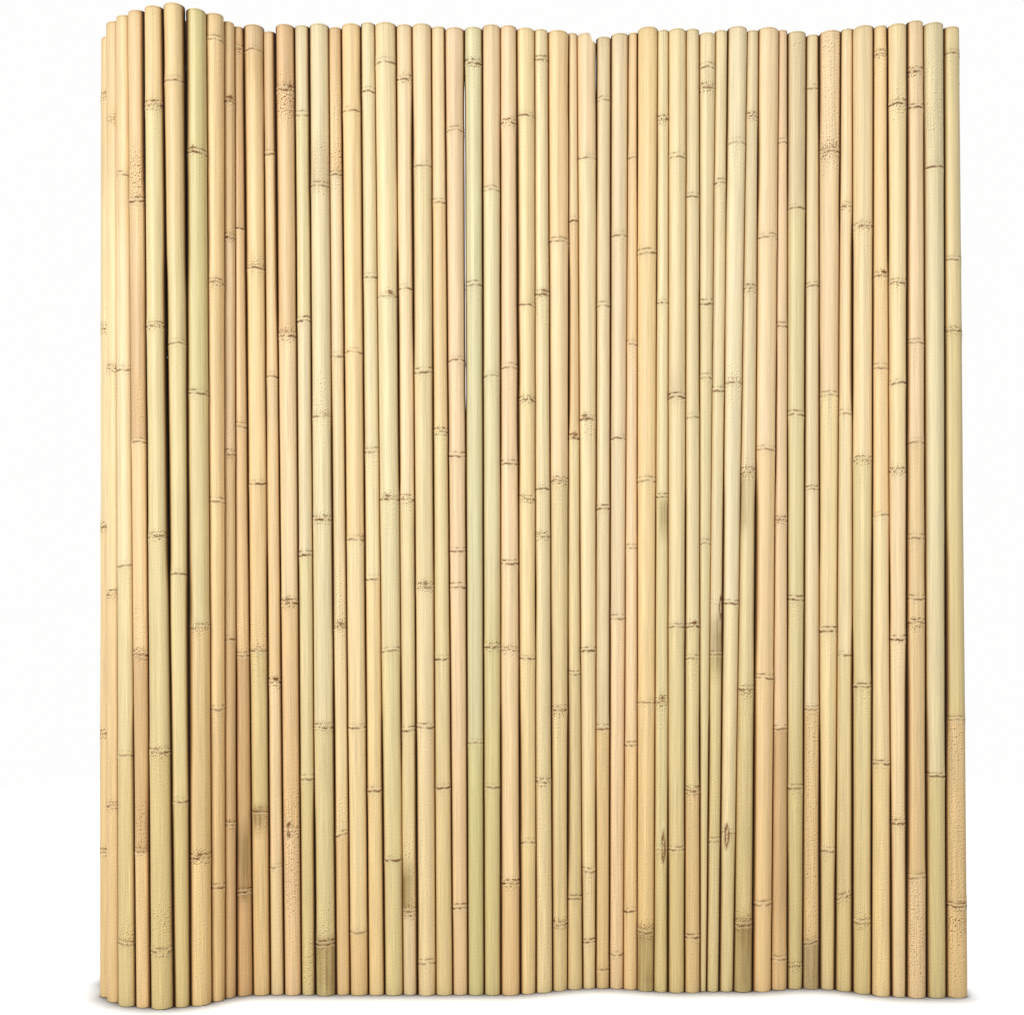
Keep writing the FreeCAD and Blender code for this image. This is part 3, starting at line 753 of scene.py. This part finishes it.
culms = {}
lines = []
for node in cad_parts:
    if node.startswith("cane_"):
        culms[node] = [culm_facts(corners(node)[0])]
    elif node.startswith("roll_"):
        culms[node] = [culm_facts(points) for points in apart(node)]
    lines += culms.get(node, [])
feet = np.array([facts[0] for facts in lines])
hidden_choice = ["straw", "tan", "green", "peach", "grey", "pink", "yellow", "sage", "brown"]
own = 0
for node, group in culms.items():
    seen = node.startswith("cane_")
    meshes = []
    for index, facts in enumerate(group):
        reach = np.linalg.norm(feet[:, :2] - facts[0][:2], axis=1)
        way = feet[np.argsort(reach)[1]] - facts[0]
        seam = math.atan2(way[0], -way[1])
        seed = int(node[5:]) if seen else 100 + index + zlib.crc32(node.encode()) % 50
        if seen:
            tints = CULM_TINTS[seed]
        else:
            pick = np.random.default_rng(seed)
            middle = facts[3][len(facts[3]) // 2]
            tints = [(0, str(pick.choice(hidden_choice))), (middle, str(pick.choice(hidden_choice)))]
        columns = SEEN_COLUMNS if seen else HIDDEN_COLUMNS
        meshes.append(culm_mesh(node + "_culm", own, lines, columns, seam, tints, seed))
        own += 1
    piece = stand_cane(node + "_culm", meshes)
    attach(piece, "root")
    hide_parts(node)


# Wires. Four galvanised steel wires run through holes drilled across all the canes and are bent over at both
# ends. The zinc is dull, with pale and dark spangles.
def zinc_coat():
    """Dull zinc on steel: grey metal whose roughness and colour change from spangle to spangle."""
    material, m, surface = opened("galvanised wire")
    body = m.node("ShaderNodeTexCoord", {}, {}, "Object")
    spangle = m.noise(body, 700.0, 2.0)
    base = m.mixed(shade((150, 152, 154)), shade((196, 198, 200)), spangle.above(0.35, 0.65))
    m.tree.links.new(base.socket, surface.inputs["Base Color"])
    m.tree.links.new((0.32 + 0.25 * spangle).socket, surface.inputs["Roughness"])
    surface.inputs["Metallic"].default_value = 0.9
    return material


zinc = zinc_coat()
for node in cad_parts:
    if node.startswith("wire_"):
        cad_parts[node].data.materials.clear()
        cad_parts[node].data.materials.append(zinc)


# Studio. The panel stands on a white floor in an even white room: a large soft lamp high on the left, a weaker
# one on the right, and light from all round. To the camera the floor and the room are plain white.
FLOOR_RADIUS = 2.2


def straight_rays(m):
    """1 for rays of the camera and of mirror-like reflections, which see the room as plain white."""
    path = m.node("ShaderNodeLightPath", {}, {}, "Is Camera Ray")
    return m.math("MAXIMUM", path, Signal(m.tree, path.socket.node.outputs["Is Glossy Ray"]))


def white_floor():
    """Matt white that also glows a little for the camera, so that only the shadows show. Close round the feet, where
    ambient occlusion finds the canes, it is painted dark brown and its glow fades: a painted contact shadow.
    """
    material, m, surface = opened("floor")
    surface.inputs["Roughness"].default_value = 0.9
    surface.inputs["Specular IOR Level"].default_value = 0.1
    # Painted contact shadow: near the canes the floor's colour turns dark brown and its glow for the camera fades.
    open_floor = m.node("ShaderNodeAmbientOcclusion", {"samples": 3}, {"Distance": 0.03}, "AO").above(0.45, 0.9)
    glow = m.mixed((0, 0, 0, 1), (1, 1, 1, 1), straight_rays(m) * open_floor)
    paint = m.mixed(shade((70, 56, 40)), (0.86, 0.86, 0.86, 1), open_floor)
    m.tree.links.new(paint.socket, surface.inputs["Base Color"])
    m.tree.links.new(glow.socket, surface.inputs["Emission Color"])
    surface.inputs["Emission Strength"].default_value = 0.6
    return material


turns = np.arange(96) * 2 * math.pi / 96
rim = np.stack([FLOOR_RADIUS * np.cos(turns), FLOOR_RADIUS * np.sin(turns), 0 * turns - 0.0002], axis=-1)
ground = bpy.data.meshes.new("floor")
ground.from_pydata(rim.tolist(), [], [list(range(96))])
floor = bpy.data.objects.new("floor", ground)
floor.data.materials.append(white_floor())
bpy.context.scene.collection.objects.link(floor)

room = bpy.data.worlds.new("room")
bpy.context.scene.world = room
room.use_nodes = True
sky = Signal(room.node_tree)
glow = sky.node("ShaderNodeBackground", {}, {"Color": (1, 1, 1, 1), "Strength": 0.24})
plain = sky.node("ShaderNodeBackground", {}, {"Color": (0.99, 0.99, 0.985, 1), "Strength": 1.0})
both = sky.node("ShaderNodeMixShader", {}, {0: straight_rays(sky), 1: glow, 2: plain})
room.node_tree.links.new(both.socket, room.node_tree.nodes["World Output"].inputs["Surface"])


def lamp(name, place, aim, size, power):
    """A square soft lamp that looks at a point."""
    light = bpy.data.lights.new(name, "AREA")
    light.size = size
    light.energy = power
    thing = bpy.data.objects.new(name, light)
    bpy.context.scene.collection.objects.link(thing)
    back = np.array(place) - np.array(aim)
    back = back / np.linalg.norm(back)
    side = np.cross([0, 0, 1.0], back)
    side = side / np.linalg.norm(side)
    up = np.cross(back, side)
    turn = [[side[k], up[k], back[k], place[k]] for k in range(3)] + [[0, 0, 0, 1]]
    thing.matrix_world = Matrix(turn)
    return thing


lamp("key", (-1.5, -2.7, 1.7), (0, 0, 0.6), 1.2, 72.0)
lamp("fill", (1.5, -2.2, 0.9), (0, 0, 0.6), 1.4, 8.0)
lamp("rear", (0.4, 2.4, 2.0), (0, 0, 0.6), 1.8, 32.0)

# Camera. The photo was taken with a normal lens at 0.47 m above the floor and 1.49 m in front of the panel,
# tilted up by under a degree, and framed higher than the lens looks.
eye = bpy.data.cameras.new("camera")
eye.sensor_fit = "HORIZONTAL"
eye.sensor_width = 36.0
eye.lens = 40.48
eye.shift_y = 0.0925
eye.clip_start = 0.05
eye.clip_end = 50.0
camera = bpy.data.objects.new("camera", eye)
camera.location = (-0.0217, -1.4901, 0.471)
camera.rotation_euler = (math.radians(90.75), 0, 0)
bpy.context.scene.collection.objects.link(camera)
bpy.context.scene.camera = camera
bpy.context.scene.view_settings.view_transform = "Standard"
